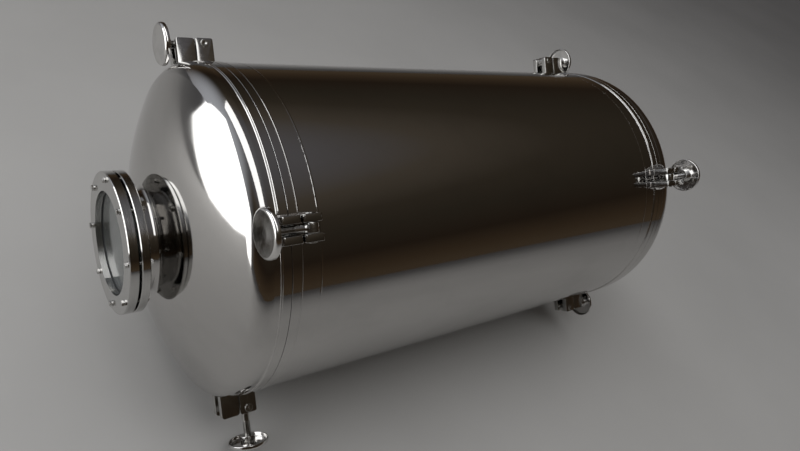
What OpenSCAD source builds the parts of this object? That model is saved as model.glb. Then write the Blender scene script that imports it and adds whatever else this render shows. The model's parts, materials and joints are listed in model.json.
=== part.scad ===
// Horizontal pressure tank of polished stainless steel. A plain shell lies on two low saddles. Each end
// is a dished head with a bolted sight glass, held by four swing bolts with dished wheel nuts.
// The X axis runs along the tank, Z is up, and the origin is on the floor under the middle of the shell.

/* [Shell] */
// Outside diameter of the shell
shell_od = 700; // [620:10:780]
// Wall of the shell
shell_wall = 4; // [3:0.5:8]
// Length of the shell between its two flange rings
shell_length = 1104; // [800:4:1800]
// Gap between the underside of the shell and the floor
shell_clearance = 35; // [25:1:80]

/* [Closure flanges] */
// How far the flange rings stand out past the shell
flange_proud = 2; // [1:0.5:6]
// Thickness of a flange ring along the tank
flange_thickness = 19; // [16:1:24]
// How far a flange ring reaches in from the shell's outside
flange_width = 20; // [12:1:40]
// Chamfer on the far edges of the two flange rings, at the shell and at the head
flange_chamfer = 2; // [0.5:0.5:3]
// Chamfer on the edges of the flange rings at their joint
joint_chamfer = 0.4; // [0.2:0.1:2]
// Thickness of the flange gasket
gasket_thickness = 1; // [1:0.5:4]
// How far the flange gasket stays back from the flange rim
gasket_recess = 2; // [1:0.5:8]

/* [Dished heads] */
// Wall of a dished head
head_wall = 4; // [3:0.5:8]
// Straight part of a head, beside its flange ring
head_straight = 14; // [6:1:40]
// Outside radius of the knuckle
knuckle_radius = 42; // [25:1:70]
// Outside radius of the crown
crown_radius = 700; // [600:10:1000]

/* [Sight glass] */
// Outside diameter of the neck tube
neck_od = 206; // [160:2:220]
// Wall of the neck tube
neck_wall = 3; // [2:0.5:6]
// Distance from the flange pivots to the back of the neck flange
neck_reach = 194; // [180:1:240]
// Outside diameter of the neck flange and the cover ring
sight_od = 283; // [276:1:340]
// Thickness of the neck flange
sight_flange_thickness = 16; // [12:1:30]
// Thickness of the cover ring
sight_cover_thickness = 18; // [12:1:30]
// Diameter of the glass disc
glass_diameter = 226; // [216:2:240]
// Thickness of the glass disc
glass_thickness = 12; // [8:1:20]
// Thickness of each of the two glass gaskets
glass_gasket_thickness = 2; // [1:0.5:3]
// Depth of the glass seat in the neck flange and in the cover ring
glass_seat_depth = 6; // [4:0.5:8]
// Viewing diameter of the cover ring
view_diameter = 206; // [180:2:212]
// Chamfer on the edges of the neck flange and the cover ring
sight_chamfer = 1.5; // [0.5:0.5:3]
// Number of bolts round a cover ring
cover_bolt_count = 8; // [4:1:10]
// Turn of the first cover bolt from the rear, upwards
cover_bolt_turn = 17; // [0:1:45]
// Diameter of a cover bolt's shank
cover_bolt_diameter = 6; // [5:1:8]
// Width of a cover bolt's head and nut across the flats
hex_width = 10; // [9:1:13]
// Height of a cover bolt's head
hex_head_height = 4; // [3.5:0.5:6]
// Height of a cover bolt's nut
hex_nut_height = 5; // [4:0.5:8]
// Diameter of the washers of a cover bolt
washer_diameter = 12; // [12:0.5:17]
// Thickness of a washer
washer_thickness = 1.5; // [1:0.5:2]
// How far a cover bolt's end stands out of its nut
thread_proud = 2; // [1:0.5:5]

/* [Swing bolts] */
// Distance of the pivot pins from the tank's axis, past the shell's outside
pivot_height = 42; // [40:1:60]
// Diameter of a pivot pin
pin_diameter = 12; // [8:1:16]
// Diameter of the eye bolt's rod
rod_diameter = 16; // [12:1:18]
// Outside diameter of the bolt's eye
eye_diameter = 28; // [24:1:34]
// Gap between the bolt's eye and each of the ears beside it
eye_gap = 0.5; // [0.3:0.1:1]
// Distance from the pivot to the end of the rod
rod_length = 83; // [80:1:84]
// Angle that the open bolt hangs out from its closed place
open_angle = 90; // [0:5:160]

/* [Lugs] */
// Gap between the two ears of a shell lug, and between the two cheeks of a head lug
lug_gap = 20; // [18:1:26]
// Thickness of a shell lug's ear
ear_thickness = 14; // [8:1:16]
// Length of an ear along the tank
ear_length = 37; // [30:1:40]
// Height of an ear past its pin
ear_rise = 11; // [9:1:20]
// Corner radius of an ear
ear_corner = 4; // [1:1:10]
// Thickness of a head lug's cheek
cheek_thickness = 14; // [8:1:16]
// Distance from the pivot to the outer end of a cheek
cheek_reach = 60; // [56:1:62]
// Height of a cheek past the pin's level
cheek_rise = 10; // [9:1:20]
// Corner radius of a cheek
cheek_corner = 6; // [1:1:12]
// Diameter of a pivot pin's button ends
button_diameter = 17; // [14:1:22]
// Thickness of a button end
button_thickness = 2; // [1.5:0.5:5]
// Chamfer of a button end
button_chamfer = 1; // [0.5:0.1:1.2]

/* [Wheel nuts] */
// Diameter of a wheel nut
wheel_diameter = 88; // [70:2:100]
// Distance from the pivot to the outer face of the wheel
wheel_reach = 89; // [88:1:96]
// Diameter of the hub
hub_diameter = 32; // [26:1:40]
// Length of the wheel nut along the rod
hub_length = 23; // [18:1:24]
// Wall of the dished wheel
wheel_wall = 3; // [2:0.5:4.5]
// Depth of the wheel's rim
rim_depth = 12; // [11:1:14]
// Radius of the bend between the wheel's face and its rim
wheel_bend = 6; // [5:1:10]

/* [Saddles] */
// Distance between the middles of the two saddles
saddle_spacing = 640; // [400:10:900]
// Length of a saddle across the tank
saddle_length = 320; // [300:10:400]
// Width of a saddle's base plate along the tank
saddle_width = 80; // [80:5:120]
// Thickness of the base plate
base_thickness = 8; // [6:1:14]
// Thickness of the saddle's web and ribs
web_thickness = 8; // [6:1:12]
// Thickness of the curved pad under the shell
pad_thickness = 4; // [3:1:8]
// Distance between the two anchor holes of a saddle
anchor_spacing = 240; // [80:10:240]
// Distance of the anchor holes from the saddle's web, outwards along the tank
anchor_offset = 22; // [18:1:26]
// Diameter of an anchor hole
anchor_diameter = 14; // [10:1:18]

/* [Hidden] */
$fn = 96;
// Clearance where two pieces of one body lie against each other on a curve
seat_gap = 0.1;
// Radial clearance of a pin or rod in its bore
running_gap = 0.05;
// Radial clearance of a cover bolt in its holes
bolt_hole_gap = 0.5;
// How far a cut runs past the piece
over = 1;
// Sides of a cover bolt's head and nut
HEX_SIDES = 6;
// Sides of the rounds: the lug corners, the crown and the curved top of a saddle
CORNER_SIDES = 48;
CROWN_SIDES = 360;
SADDLE_SIDES = 180;
// Places of the swing bolts round an end, counted from the rear over the top
UPPER_REAR = 45;
UPPER_FRONT = 135;
LOWER_FRONT = 225;
LOWER_REAR = 315;
BOLT_ANGLES = [UPPER_REAR, UPPER_FRONT, LOWER_FRONT, LOWER_REAR];
POLISHED = "#b9bcc0";
SATIN = "#9a9da1";
SEAL = "#26282b";
PANE = "#9fb4b8";

shell_r = shell_od / 2;
axis_height = shell_r + shell_clearance;
flange_r = shell_r + flange_proud;
flange_inner_r = shell_r - flange_width;
gasket_start = flange_thickness;
head_flange_start = gasket_start + gasket_thickness;
head_start = head_flange_start + flange_thickness;
pivot_r = shell_r + pivot_height;
pin_r = pin_diameter / 2;
rod_r = rod_diameter / 2;
neck_r = neck_od / 2;
knuckle_centre_r = shell_r - knuckle_radius;
// The crown and the knuckle touch on this angle, counted from the tank's axis
crown_angle = asin(knuckle_centre_r / (crown_radius - knuckle_radius));
crown_edge_r = crown_radius * sin(crown_angle);
crown_centre = head_straight - (crown_radius - knuckle_radius) * cos(crown_angle);
sight_joint = neck_reach + sight_flange_thickness;
glass_back = sight_joint - glass_seat_depth + glass_gasket_thickness;
glass_front = glass_back + glass_thickness;
cover_back = glass_front + glass_gasket_thickness - glass_seat_depth;
cover_front = cover_back + sight_cover_thickness;
// The cover bolts stand midway between the glass seat and the rim of the cover ring
cover_bolt_r = (sight_od + glass_diameter) / 4;
// How far the head lugs start past the gasket, clear of the shell lugs
cheek_gap = 0.5;
cheek_start = head_flange_start + cheek_gap;
// How far the lug plates reach into the tank's round, before it is cut out of them
lug_sink = 5;
lug_foot = shell_r - lug_sink;
eye_width = lug_gap - 2 * eye_gap;
// Distance of a shell lug's outer faces from the bolt's plane
ear_outer = lug_gap / 2 + ear_thickness;

// Places what is drawn for the right end on either end. Its X runs outwards from the plane of the
// pivots, which is the joint of shell and flange ring, and the origin is on the tank's axis.
module at_end(side) {
    translate([0, 0, axis_height])
        mirror([side == "left" ? 1 : 0, 0, 0])
            translate([shell_length / 2, 0, 0])
                children();
}

// Turns a piece that is drawn at the top of the end to its place round the end.
module at_angle(angle) {
    rotate([angle - 90, 0, 0])
        children();
}

// Turns an outline of radius and distance about the end's axis.
module turned() {
    rotate([0, 90, 0])
        rotate_extrude()
            children();
}

module ring(start, thickness, outer_r, inner_r, start_chamfer, end_chamfer) {
    turned()
        polygon([
            [inner_r, start],
            [outer_r - start_chamfer, start],
            [outer_r, start + start_chamfer],
            [outer_r, start + thickness - end_chamfer],
            [outer_r - end_chamfer, start + thickness],
            [inner_r, start + thickness]
        ]);
}

module tube(start, end, outer_r, inner_r) {
    turned()
        translate([inner_r, start])
            square([outer_r - inner_r, end - start]);
}

module shell() {
    color(POLISHED)
        translate([-shell_length / 2, 0, axis_height])
            tube(0, shell_length, shell_r, shell_r - shell_wall);
}

module shell_flange() {
    color(POLISHED)
        ring(0, flange_thickness, flange_r, flange_inner_r, flange_chamfer, joint_chamfer);
}

module flange_gasket() {
    color(SEAL)
        tube(gasket_start, head_flange_start, flange_r - gasket_recess, flange_inner_r);
}

module head_flange() {
    color(POLISHED)
        ring(head_flange_start, flange_thickness, flange_r, flange_inner_r, joint_chamfer, flange_chamfer);
}

// Outline of a filled dish: a straight part, the knuckle and the crown, all moved in by inset
module dish_outline(inset) {
    straight_start = inset > 0 ? -over : 0;
    translate([0, straight_start])
        square([shell_r - inset, head_straight - straight_start]);
    intersection() {
        translate([knuckle_centre_r, head_straight])
            circle(r = knuckle_radius - inset);
        square([shell_r, head_straight + knuckle_radius]);
    }
    intersection() {
        translate([0, crown_centre])
            circle(r = crown_radius - inset, $fn = CROWN_SIDES);
        square([crown_edge_r - inset * sin(crown_angle), crown_radius]);
    }
}

module dished_head() {
    color(POLISHED)
        translate([head_start, 0, 0])
            turned()
                difference() {
                    intersection() {
                        dish_outline(0);
                        translate([neck_r + seat_gap, -over])
                            square([shell_r, crown_radius]);
                    }
                    dish_outline(head_wall);
                }
}

// The neck tube is set into the head and ends flush with the head's inside
module sight_neck() {
    inner_crown_r = crown_radius - head_wall;
    neck_start = head_start + crown_centre + sqrt(pow(inner_crown_r, 2) - pow(neck_r, 2));
    color(POLISHED)
        tube(neck_start, neck_reach, neck_r, neck_r - neck_wall);
}

module sight_ring(start, thickness, inner_r) {
    ring(start, thickness, sight_od / 2, inner_r, sight_chamfer, sight_chamfer);
}

module sight_flange() {
    color(SATIN)
        difference() {
            sight_ring(neck_reach, sight_flange_thickness, neck_r - neck_wall);
            tube(sight_joint - glass_seat_depth, sight_joint + over, glass_diameter / 2 + seat_gap, 0);
            cover_bolt_holes(neck_reach, sight_joint);
        }
}

module glass_gaskets() {
    color(SEAL) {
        tube(glass_back - glass_gasket_thickness, glass_back, glass_diameter / 2, neck_r - neck_wall);
        tube(glass_front, glass_front + glass_gasket_thickness, glass_diameter / 2, view_diameter / 2);
    }
}

module sight_glass() {
    color(PANE)
        tube(glass_back, glass_front, glass_diameter / 2, 0);
}

module sight_cover() {
    color(SATIN)
        difference() {
            sight_ring(cover_back, sight_cover_thickness, view_diameter / 2);
            tube(cover_back - over, cover_back + glass_seat_depth, glass_diameter / 2 + seat_gap, 0);
            cover_bolt_holes(cover_back, cover_front);
        }
}

// Places what stands along X at the middle of each cover bolt
module at_cover_bolts() {
    for (i = [0:cover_bolt_count - 1])
        rotate([cover_bolt_turn + i * 360 / cover_bolt_count, 0, 0])
            translate([0, cover_bolt_r, 0])
                rotate([0, 90, 0])
                    children();
}

module cover_bolt_holes(start, end) {
    at_cover_bolts()
        translate([0, 0, start - over])
            cylinder(h = end - start + 2 * over, r = cover_bolt_diameter / 2 + bolt_hole_gap);
}

module hexagon(height) {
    linear_extrude(height)
        circle(r = hex_width / 2 / cos(180 / HEX_SIDES), $fn = HEX_SIDES);
}

// One bolt with its head and washer before the cover ring, and a washer and nut behind the neck flange
module cover_bolt() {
    nut_back = neck_reach - washer_thickness - hex_nut_height;
    shank_start = nut_back - thread_proud;
    translate([0, 0, cover_front])
        cylinder(h = washer_thickness, r = washer_diameter / 2);
    translate([0, 0, cover_front + washer_thickness])
        hexagon(hex_head_height);
    translate([0, 0, neck_reach - washer_thickness])
        cylinder(h = washer_thickness, r = washer_diameter / 2);
    translate([0, 0, nut_back])
        hexagon(hex_nut_height);
    translate([0, 0, shank_start])
        cylinder(h = cover_front + washer_thickness - shank_start, r = cover_bolt_diameter / 2);
}

module cover_bolts() {
    color(SATIN)
        at_cover_bolts()
            cover_bolt();
}

// Flat outline in X and Z with its two upper corners rounded
module lug_outline(start, end, top, corner) {
    translate([start, lug_foot])
        square([end - start, top - corner - lug_foot]);
    translate([start + corner, top - corner])
        square([end - start - 2 * corner, corner]);
    for (x = [start + corner, end - corner])
        translate([x, top - corner])
            circle(r = corner, $fn = CORNER_SIDES);
}

// Two like plates on both sides of the bolt's plane
module plate_pair(thickness) {
    for (inner_face = [lug_gap / 2, -lug_gap / 2 - thickness])
        translate([0, inner_face + thickness, 0])
            rotate([90, 0, 0])
                linear_extrude(thickness)
                    children();
}

module shell_lug() {
    difference() {
        plate_pair(ear_thickness)
            lug_outline(-ear_length / 2, ear_length / 2, pivot_r + ear_rise, ear_corner);
        tube(-ear_length, 0, shell_r + seat_gap, 0);
        tube(-over, ear_length, flange_r + seat_gap, 0);
        translate([0, 0, pivot_r])
            rotate([90, 0, 0])
                cylinder(h = 2 * (ear_outer + over), r = pin_r + running_gap, center = true);
    }
}

module head_lug() {
    difference() {
        plate_pair(cheek_thickness)
            lug_outline(cheek_start, cheek_reach, pivot_r + cheek_rise, cheek_corner);
        tube(0, head_start + seat_gap, flange_r + seat_gap, 0);
        tube(head_start, cheek_reach + over, shell_r + seat_gap, 0);
    }
}

module pivot_pin() {
    pin_reach = ear_outer + seat_gap;
    translate([0, 0, pivot_r])
        rotate([90, 0, 0]) {
            cylinder(h = 2 * pin_reach, r = pin_r, center = true);
            for (end = [0, 1])
                mirror([0, 0, end])
                    translate([0, 0, pin_reach])
                        rotate_extrude()
                            polygon([
                                [0, 0],
                                [button_diameter / 2, 0],
                                [button_diameter / 2, button_thickness - button_chamfer],
                                [button_diameter / 2 - button_chamfer, button_thickness],
                                [0, button_thickness]
                            ]);
        }
}

module shell_lugs() {
    color(SATIN)
        for (angle = BOLT_ANGLES)
            at_angle(angle)
                shell_lug();
}

module head_lugs() {
    color(SATIN)
        for (angle = BOLT_ANGLES)
            at_angle(angle)
                head_lug();
}

module pivot_pins() {
    color(POLISHED)
        for (angle = BOLT_ANGLES)
            at_angle(angle)
                pivot_pin();
}

// Eye and rod of a swing bolt, with the rod along X and the pivot at the origin
module bolt_body() {
    difference() {
        union() {
            rotate([90, 0, 0])
                cylinder(h = eye_width, r = eye_diameter / 2, center = true);
            rotate([0, 90, 0])
                cylinder(h = rod_length, r = rod_r);
        }
        rotate([90, 0, 0])
            cylinder(h = eye_width + 2 * over, r = pin_r + running_gap, center = true);
    }
}

// Dished wheel with a blind hub, on the same axes as the bolt
module wheel_body() {
    wheel_r = wheel_diameter / 2;
    bend_centre = wheel_reach - wheel_bend;
    hub_start = wheel_reach - hub_length;
    bore_end = rod_length + 2 * running_gap;
    turned()
        difference() {
            union() {
                translate([0, hub_start])
                    square([hub_diameter / 2, hub_length]);
                translate([0, wheel_reach - wheel_wall])
                    square([wheel_r - wheel_bend, wheel_wall]);
                translate([wheel_r - wheel_wall, wheel_reach - rim_depth])
                    square([wheel_wall, rim_depth - wheel_bend]);
                intersection() {
                    translate([wheel_r - wheel_bend, bend_centre])
                        difference() {
                            circle(r = wheel_bend);
                            circle(r = wheel_bend - wheel_wall);
                        }
                    translate([wheel_r - wheel_bend, bend_centre])
                        square(wheel_bend);
                }
            }
            translate([0, hub_start - over])
                square([rod_r + running_gap, bore_end - hub_start + over]);
        }
}

function is_open(side, angle) = side == "left" && angle == LOWER_FRONT;

module at_pivot(side, angle) {
    at_end(side)
        at_angle(angle)
            translate([0, 0, pivot_r])
                rotate([0, is_open(side, angle) ? -open_angle : 0, 0])
                    children();
}

module swing_bolt(side, angle) {
    color(POLISHED)
        at_pivot(side, angle)
            bolt_body();
}

module wheel_nut(side, angle) {
    color(POLISHED)
        at_pivot(side, angle)
            wheel_body();
}

// Cylinder along the tank, round the tank's axis, for the curved top of a saddle
module along_tank(r) {
    translate([-saddle_width, 0, axis_height])
        rotate([0, 90, 0])
            cylinder(h = 2 * saddle_width, r = r, $fn = SADDLE_SIDES);
}

// Outer half of the base plate lies at positive X
module saddle() {
    rib_y = saddle_length / 2 - web_thickness;
    block_height = axis_height / 2;
    color(SATIN)
        difference() {
            union() {
                translate([-saddle_width / 2, -saddle_length / 2, 0])
                    cube([saddle_width, saddle_length, base_thickness]);
                translate([-web_thickness / 2, -saddle_length / 2, 0])
                    cube([web_thickness, saddle_length, block_height]);
                for (y = [-rib_y, -web_thickness / 2, rib_y - web_thickness])
                    translate([web_thickness - saddle_width / 2, y, 0])
                        cube([saddle_width - 2 * web_thickness, web_thickness, block_height]);
                intersection() {
                    translate([-saddle_width / 2, -saddle_length / 2, 0])
                        cube([saddle_width, saddle_length, block_height]);
                    difference() {
                        along_tank(shell_r + pad_thickness);
                        along_tank(shell_r + seat_gap);
                    }
                }
            }
            along_tank(shell_r + seat_gap);
            for (y = [-anchor_spacing / 2, anchor_spacing / 2])
                translate([anchor_offset, y, -over])
                    cylinder(h = base_thickness + 2 * over, r = anchor_diameter / 2);
        }
}

module placed_saddle(side) {
    mirror([side == "left" ? 1 : 0, 0, 0])
        translate([saddle_spacing / 2, 0, 0])
            saddle();
}

shell();
at_end("left") shell_flange();  // left_shell_flange
at_end("right") shell_flange();  // right_shell_flange
at_end("left") flange_gasket();  // left_flange_gasket
at_end("right") flange_gasket();  // right_flange_gasket
at_end("left") head_flange();  // left_head_flange
at_end("right") head_flange();  // right_head_flange
at_end("left") dished_head();  // left_dished_head
at_end("right") dished_head();  // right_dished_head
at_end("left") sight_neck();  // left_sight_neck
at_end("right") sight_neck();  // right_sight_neck
at_end("left") sight_flange();  // left_sight_flange
at_end("right") sight_flange();  // right_sight_flange
at_end("left") glass_gaskets();  // left_glass_gaskets
at_end("right") glass_gaskets();  // right_glass_gaskets
at_end("left") sight_glass();  // left_sight_glass
at_end("right") sight_glass();  // right_sight_glass
at_end("left") sight_cover();  // left_sight_cover
at_end("right") sight_cover();  // right_sight_cover
at_end("left") cover_bolts();  // left_cover_bolts
at_end("right") cover_bolts();  // right_cover_bolts
at_end("left") shell_lugs();  // left_shell_lugs
at_end("right") shell_lugs();  // right_shell_lugs
at_end("left") head_lugs();  // left_head_lugs
at_end("right") head_lugs();  // right_head_lugs
at_end("left") pivot_pins();  // left_pivot_pins
at_end("right") pivot_pins();  // right_pivot_pins
swing_bolt("left", UPPER_REAR);  // left_upper_rear_bolt
swing_bolt("left", UPPER_FRONT);  // left_upper_front_bolt
swing_bolt("left", LOWER_FRONT);  // left_lower_front_bolt
swing_bolt("left", LOWER_REAR);  // left_lower_rear_bolt
swing_bolt("right", UPPER_REAR);  // right_upper_rear_bolt
swing_bolt("right", UPPER_FRONT);  // right_upper_front_bolt
swing_bolt("right", LOWER_FRONT);  // right_lower_front_bolt
swing_bolt("right", LOWER_REAR);  // right_lower_rear_bolt
wheel_nut("left", UPPER_REAR);  // left_upper_rear_wheel
wheel_nut("left", UPPER_FRONT);  // left_upper_front_wheel
wheel_nut("left", LOWER_FRONT);  // left_lower_front_wheel
wheel_nut("left", LOWER_REAR);  // left_lower_rear_wheel
wheel_nut("right", UPPER_REAR);  // right_upper_rear_wheel
wheel_nut("right", UPPER_FRONT);  // right_upper_front_wheel
wheel_nut("right", LOWER_FRONT);  // right_lower_front_wheel
wheel_nut("right", LOWER_REAR);  // right_lower_rear_wheel
placed_saddle("left");  // left_saddle
placed_saddle("right");  // right_saddle
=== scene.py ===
"""Dresses the horizontal pressure tank: polished steel, swing bolts, wheel nuts, welds and the stage."""

import json
import math

import bpy
from bpy.props import FloatProperty, FloatVectorProperty, IntProperty, PointerProperty
from mathutils import Matrix, Quaternion, Vector


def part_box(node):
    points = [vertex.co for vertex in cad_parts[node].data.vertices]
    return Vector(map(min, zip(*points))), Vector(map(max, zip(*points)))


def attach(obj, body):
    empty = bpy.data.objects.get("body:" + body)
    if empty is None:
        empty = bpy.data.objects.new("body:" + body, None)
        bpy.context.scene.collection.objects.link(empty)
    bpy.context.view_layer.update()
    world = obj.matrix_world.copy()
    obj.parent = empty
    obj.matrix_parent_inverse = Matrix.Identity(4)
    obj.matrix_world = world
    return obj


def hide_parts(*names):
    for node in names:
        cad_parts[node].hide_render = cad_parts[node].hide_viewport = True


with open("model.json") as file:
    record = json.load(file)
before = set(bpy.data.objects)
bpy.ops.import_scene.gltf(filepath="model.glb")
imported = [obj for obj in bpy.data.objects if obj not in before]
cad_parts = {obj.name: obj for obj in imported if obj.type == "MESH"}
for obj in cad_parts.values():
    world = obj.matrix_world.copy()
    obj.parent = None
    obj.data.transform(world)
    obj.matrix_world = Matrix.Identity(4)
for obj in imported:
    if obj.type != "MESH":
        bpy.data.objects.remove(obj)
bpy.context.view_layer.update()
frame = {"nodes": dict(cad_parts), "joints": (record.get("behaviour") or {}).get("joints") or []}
NODES = frame["nodes"]
JOINTS = {joint["name"]: joint for joint in frame["joints"]}
SHELL_LOW, SHELL_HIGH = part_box("shell")
SHELL_RADIUS = round((SHELL_HIGH.z - SHELL_LOW.z) / 2, 3)
AXIS_HEIGHT = (SHELL_LOW.z + SHELL_HIGH.z) / 2
TANK = "tank"
SIDES = {"left": -1, "right": 1}
PLACES = ("upper_rear", "upper_front", "lower_front", "lower_rear")

# Values that several pieces share, in metres where nothing else is said
HAIR = 0.0001  # an overlap or gap too small to see
SUNK = 0.001  # how far a piece reaches into the one that it joins
MERGED = 0.000001  # points nearer than this become one
RUNNING = 0.00005  # clearance of an eye on its pin, and of a nut on its rod
LOOSE = 0.0003  # clearance of a plain bore round a pin or shank
FACED = 0.00002  # taken off the end of a thread
THREAD_DEPTH = 0.6134  # depth of a metric thread, as a share of its pitch
THREAD_FLANK = 0.3125  # length of its flank along the rod, as a share of its pitch
ACROSS = Matrix.Rotation(math.pi / 2, 4, "Z")  # lays a piece that was made along X across the tank

# Lamps of the stage
KEY_AZIMUTH = math.radians(157)
KEY_AIM = -0.75  # place along the tank that the key panel faces
OVERHEAD_SPOT = (-1.0, 0.1)
OVERHEAD_TURN = math.radians(8)
FILL_SPOT = (0.8, -0.8)
FILL_HEIGHT = 4.0
FILL_SIZE = 5.0

# Tones of the plain room from its horizon to straight overhead, and its glow towards the key panel
ROOM_TONES = (
    (0.0, (0.060, 0.042, 0.026)),
    (0.10, (0.045, 0.030, 0.018)),
    (0.26, (0.022, 0.015, 0.010)),
    (0.48, (0.030, 0.024, 0.017)),
    (0.62, (0.040, 0.032, 0.023)),
    (0.76, (0.075, 0.062, 0.048)),
    (0.88, (0.11, 0.105, 0.11)),
    (1.0, (0.15, 0.15, 0.16)),
)
GLOW_TONE = (0.55, 0.57, 0.62)
GLOW_DIRECTION = Vector((-0.80, 0.50, 0.30)).normalized()
GLOW_START = 0.50  # cosine of the angle from the glow's middle to its faint edge

# The photograph's camera: its eye, the directions of its picture, and its focal length in pixels
EYE = (-1.0763, -0.9065, 1.3731)
EYE_RIGHT = Vector((0.79246, -0.49777, 0.35246))
EYE_DOWN = Vector((-0.12109, -0.69478, -0.70896))
EYE_AHEAD = Vector((0.59778, 0.51914, -0.61086))
FOCAL_PIXELS = 640.8
PICTURE_PIXELS = 800
SENSOR_MILLIMETRES = 36

bl_info = {
    "name": "Horizontal Pressure Tank",
    "version": (1, 0, 0),
    "blender": (4, 5, 0),
    "location": "View3D > Sidebar > Tank",
    "description": "Builds the looks of a horizontal pressure tank round its CAD frame",
    "category": "Object",
}


def length(name, description, default):
    return FloatProperty(name=name, description=description, default=default, unit="LENGTH")


def turn(name, description, degrees):
    return FloatProperty(name=name, description=description, default=math.radians(degrees), subtype="ANGLE")


def tone(name, description, default):
    return FloatVectorProperty(name=name, description=description, default=default, size=3, subtype="COLOR")


def fraction(name, description, default):
    return FloatProperty(name=name, description=description, default=default, subtype="FACTOR")


def brightness(name, description, default):
    return FloatProperty(name=name, description=description, default=default)


class TankSizes(bpy.types.PropertyGroup):
    """Sizes of the pieces that are modelled here"""

    shell_radius: length("Shell radius", "Outside radius of the shell", SHELL_RADIUS)
    ring_radius: length("Ring radius", "Outside radius of the closure rings", 0.352)
    lug_gap: length("Lug gap", "Gap between the two plates of a lug", 0.020)
    lug_thickness: length("Lug thickness", "Thickness of a lug plate", 0.014)
    ear_length: length("Ear length", "Length of a shell lug's ear along the tank", 0.037)
    ear_rise: length("Ear rise", "Height of an ear past its pin", 0.011)
    ear_corner: length("Ear corner", "Corner radius of an ear", 0.004)
    cheek_start: length("Cheek start", "Distance from the pivot to a cheek's inner end", 0.0205)
    cheek_reach: length("Cheek reach", "Distance from the pivot to a cheek's outer end", 0.060)
    cheek_rise: length("Cheek rise", "Height of a cheek past the pin's level", 0.010)
    cheek_corner: length("Cheek corner", "Corner radius of a cheek", 0.006)
    edge_ease: length("Edge ease", "Rounding of the plates' edges", 0.0008)
    pin_radius: length("Pin radius", "Radius of a pivot pin", 0.006)
    button_radius: length("Button radius", "Radius of a pin's button ends", 0.0085)
    button_height: length("Button height", "Height of a pin's button ends", 0.002)
    rod_radius: length("Rod radius", "Radius of the swing bolt's rod", 0.008)
    rod_length: length("Rod length", "Distance from the pivot to the end of the rod", 0.083)
    rod_pitch: length("Rod pitch", "Pitch of the swing bolt's thread", 0.002)
    thread_start: length("Thread start", "Distance from the pivot to the start of the thread", 0.034)
    eye_radius: length("Eye radius", "Outside radius of the bolt's eye", 0.014)
    eye_width: length("Eye width", "Width of the bolt's eye", 0.019)
    wheel_radius: length("Wheel radius", "Radius of a wheel nut", 0.044)
    wheel_reach: length("Wheel reach", "Distance from the pivot to the wheel's outer face", 0.089)
    wheel_wall: length("Wheel wall", "Wall of the dished wheel", 0.003)
    wheel_bend: length("Wheel bend", "Radius of the bend into the rim", 0.006)
    rim_depth: length("Rim depth", "Depth of the wheel's rim", 0.012)
    hub_radius: length("Hub radius", "Radius of the wheel's hub", 0.016)
    hub_length: length("Hub length", "Length of the hub", 0.023)
    cover_circle: length("Cover bolt circle", "Radius of the circle of cover bolts", 0.12725)
    cover_turn: turn("Cover bolt turn", "Turn of the first cover bolt from the rear", 17)
    cover_count: IntProperty(name="Cover bolts", description="Number of bolts round a cover ring", default=8)
    cover_radius: length("Cover bolt radius", "Radius of a cover bolt's shank", 0.003)
    cover_pitch: length("Cover bolt pitch", "Pitch of a cover bolt's thread", 0.001)
    hex_width: length("Hexagon width", "Width across the flats of heads and nuts", 0.010)
    washer_radius: length("Washer radius", "Outside radius of a washer", 0.006)
    washer_height: length("Washer height", "Thickness of a washer", 0.0015)
    head_height: length("Head height", "Height of a cover bolt's head", 0.004)
    nut_height: length("Nut height", "Height of a cover bolt's nut", 0.005)
    end_proud: length("End proud", "How far a cover bolt stands out of its nut", 0.002)
    bead: length("Weld bead", "Radius of a weld bead", 0.0022)
    seam_distance: length("Seam distance", "Distance of the shell's seam from the pivots", 0.040)
    seam_width: length("Seam width", "Width of the ground seam round the shell", 0.004)
    seam_height: length("Seam height", "How far the ground seam stands proud", 0.0003)
    ring_bead_width: length("Ring bead width", "Width of the polished bead on a ring's edge", 0.005)
    ring_bead_height: length("Ring bead height", "How far the polished bead stands proud", 0.0019)
    collar: length("Neck collar", "Radius of the polished collar at the foot of a neck", 0.010)
    plate_thickness: length("Saddle plates", "Thickness of the saddles' plates", 0.008)


class TankFinish(bpy.types.PropertyGroup):
    """Colours and gloss of the tank's finishes"""

    mirror_colour: tone("Mirror colour", "Colour of the mirror polished sheet", (0.50, 0.49, 0.475))
    turned_colour: tone("Turned colour", "Colour of the turned rings", (0.52, 0.515, 0.50))
    wheel_colour: tone("Wheel colour", "Colour of the polished wheels", (0.66, 0.65, 0.635))
    satin_colour: tone("Satin colour", "Colour of lugs, bolts and pins", (0.50, 0.495, 0.48))
    saddle_colour: tone("Saddle colour", "Colour of the saddles", (0.46, 0.455, 0.445))
    weld_colour: tone("Weld colour", "Colour of the brushed weld beads", (0.42, 0.41, 0.40))
    rubber_colour: tone("Rubber colour", "Colour of the gaskets", (0.022, 0.022, 0.024))
    pane_colour: tone("Pane colour", "Colour of the hazy sight glass", (0.40, 0.43, 0.42))
    mirror_roughness: fraction("Mirror roughness", "Least roughness of the polished sheet", 0.05)


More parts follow.
